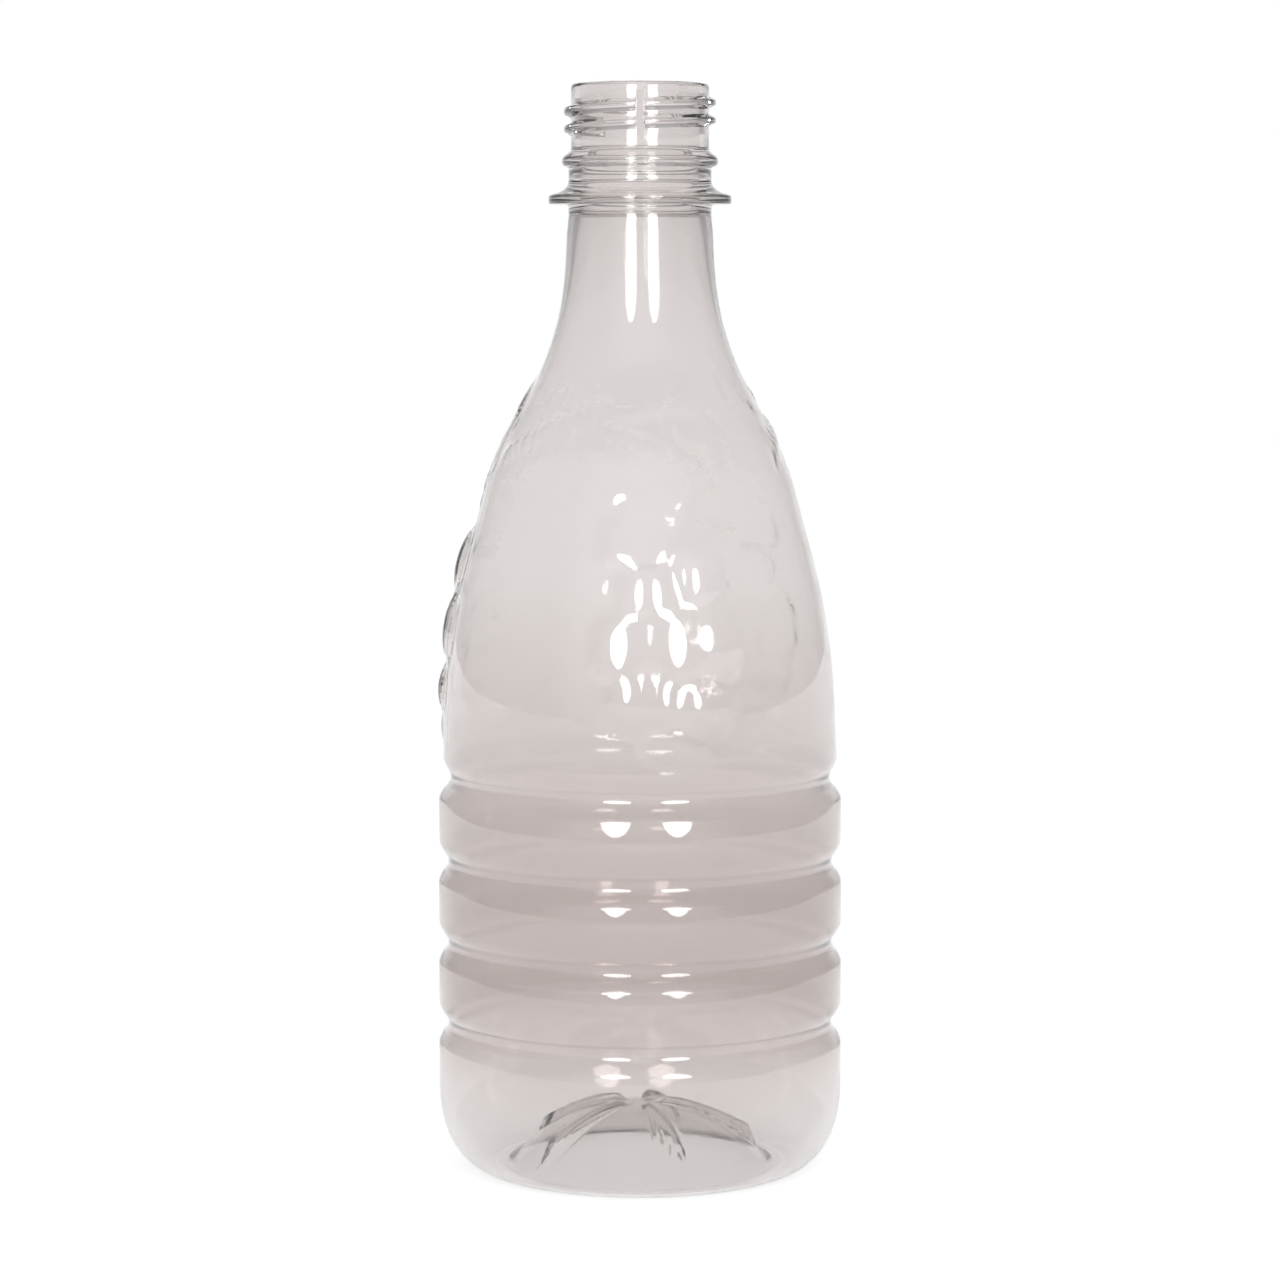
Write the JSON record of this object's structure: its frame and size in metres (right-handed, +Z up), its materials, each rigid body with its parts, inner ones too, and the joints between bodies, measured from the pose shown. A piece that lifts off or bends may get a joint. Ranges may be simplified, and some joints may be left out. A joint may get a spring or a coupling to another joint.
{
  "type": "empty clear plastic wine bottle",
  "caption": "Clear blown plastic wine bottle with a screw neck, grape bunches in relief on the shoulder, grooved bands and a ribbed push-up base.",
  "frame": {"origin": "centre of the base, on the surface that the bottle stands on", "axes": "+Z up along the bottle's axis, -Y towards the bunch of grapes that faces the camera, +X to the camera's right"},
  "size_m": [0.0741, 0.0738, 0.197],
  "materials": {
    "clear_pet": "clear gloss"
  },
  "bodies": {
    "root": {"bottle": "clear_pet"}
  },
  "joints": []
}
